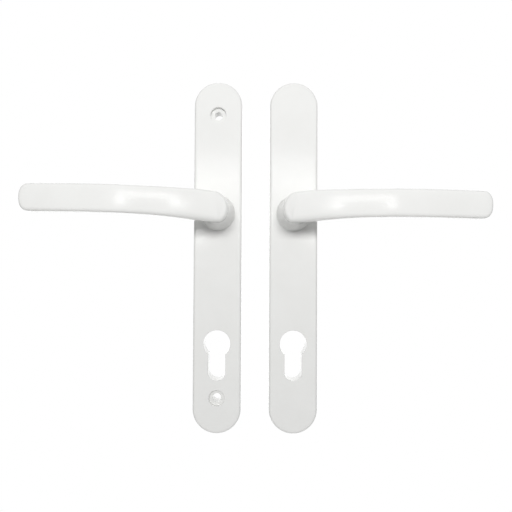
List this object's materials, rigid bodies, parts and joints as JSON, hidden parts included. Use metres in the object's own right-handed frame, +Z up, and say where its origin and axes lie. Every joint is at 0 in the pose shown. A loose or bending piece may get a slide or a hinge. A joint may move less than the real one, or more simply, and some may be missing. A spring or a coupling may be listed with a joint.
{
  "type": "lever handle pair on long backplates",
  "caption": "Pair of lever handles on long round-ended backplates with euro-profile lock cut-outs: one plate is drilled for fixing screws, the other is plain.",
  "frame": {"origin": "on the door plane, midway between the two spindle axes, with both handles laid out side by side", "axes": "+X to the right across the pair, +Y into the door, +Z up along the plates; both spindle axes are along Y at x = -26.8 mm (inside handle) and x = +26.8 mm (outside handle)"},
  "size_m": [0.2943, 0.0601, 0.248],
  "materials": {
    "white_powder_coat": "satin-gloss white powder coat",
    "nylon": "natural moulded nylon",
    "spring_steel": "oiled dark spring steel",
    "zinc_plated_steel": "bright zinc plate"
  },
  "bodies": {
    "backplates": {"inner_backplate": "white_powder_coat", "inner_neck_bush": "nylon", "inner_return_spring": "spring_steel", "inner_cassette_cover": "zinc_plated_steel", "inner_cover_screw_upper": "zinc_plated_steel", "inner_cover_screw_lower": "zinc_plated_steel", "outer_backplate": "white_powder_coat", "outer_neck_bush": "nylon", "outer_return_spring": "spring_steel", "outer_cassette_cover": "zinc_plated_steel", "outer_cover_screw_upper": "zinc_plated_steel", "outer_cover_screw_lower": "zinc_plated_steel", "outer_upper_threaded_sleeve": "zinc_plated_steel", "outer_lower_threaded_sleeve": "zinc_plated_steel"},
    "inner_lever": {"inner_lever": "white_powder_coat", "inner_driver_plate": "zinc_plated_steel", "inner_thrust_washer": "zinc_plated_steel", "inner_circlip": "spring_steel"},
    "outer_lever": {"outer_lever": "white_powder_coat", "outer_driver_plate": "zinc_plated_steel", "outer_thrust_washer": "zinc_plated_steel", "outer_circlip": "spring_steel"}
  },
  "joints": [
    {"name": "inner_lever_turn", "type": "hinge", "parent": "backplates", "child": "inner_lever", "pos_m": [-0.0268, 0, 0], "axis": [0, -1, 0], "range_deg": [-45, 45], "stiffness_Nm_per_rad": 1.5, "springref_deg": -4.87, "deforming": ["inner_return_spring"]},
    {"name": "outer_lever_turn", "type": "hinge", "parent": "backplates", "child": "outer_lever", "pos_m": [0.0268, 0, 0], "axis": [0, 1, 0], "range_deg": [-45, 45], "stiffness_Nm_per_rad": 1.5, "springref_deg": -4.87, "deforming": ["outer_return_spring"]}
  ]
}
